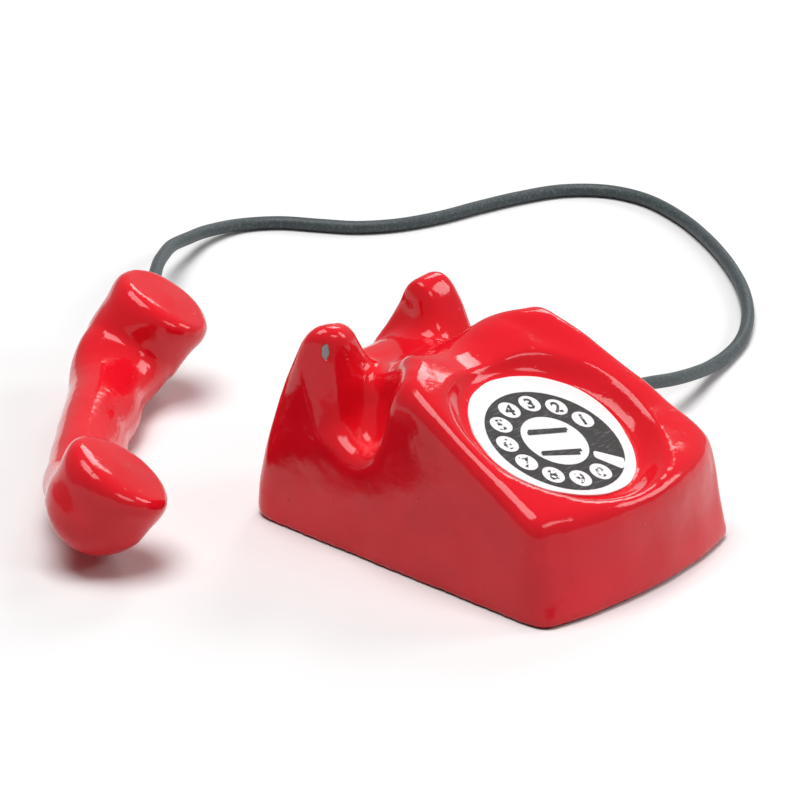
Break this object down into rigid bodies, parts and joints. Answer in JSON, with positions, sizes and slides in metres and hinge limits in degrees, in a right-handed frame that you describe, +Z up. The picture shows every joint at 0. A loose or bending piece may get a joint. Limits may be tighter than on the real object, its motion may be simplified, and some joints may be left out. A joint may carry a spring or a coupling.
{
  "type": "miniature dial telephone",
  "caption": "Dollhouse-scale dial telephone in red enamel with a printed paper dial, a loose handset and a plain thin cord.",
  "frame": {"origin": "middle of the telephone body's underside", "axes": "+Z up, -Y towards the front of the dial, +X to the right of someone facing the dial, where the cord leaves the body"},
  "size_m": [0.051, 0.0404, 0.0091],
  "materials": {
    "red_enamel": "thick gloss enamel",
    "dial_paper": "smooth printed paper",
    "dial_ink": "printed ink",
    "cord_black": "satin sleeve"
  },
  "bodies": {
    "base": {"phone_body": "red_enamel", "dial_card": "dial_paper", "dial_print": "dial_ink", "cord": "cord_black"},
    "handset": {"handset": "red_enamel"}
  },
  "joints": [
    {"name": "handset_lift", "type": "slide", "parent": "base", "child": "handset", "axis": [0, 0, 1], "range_m": [0, 0.012], "deforming": ["cord"]}
  ]
}
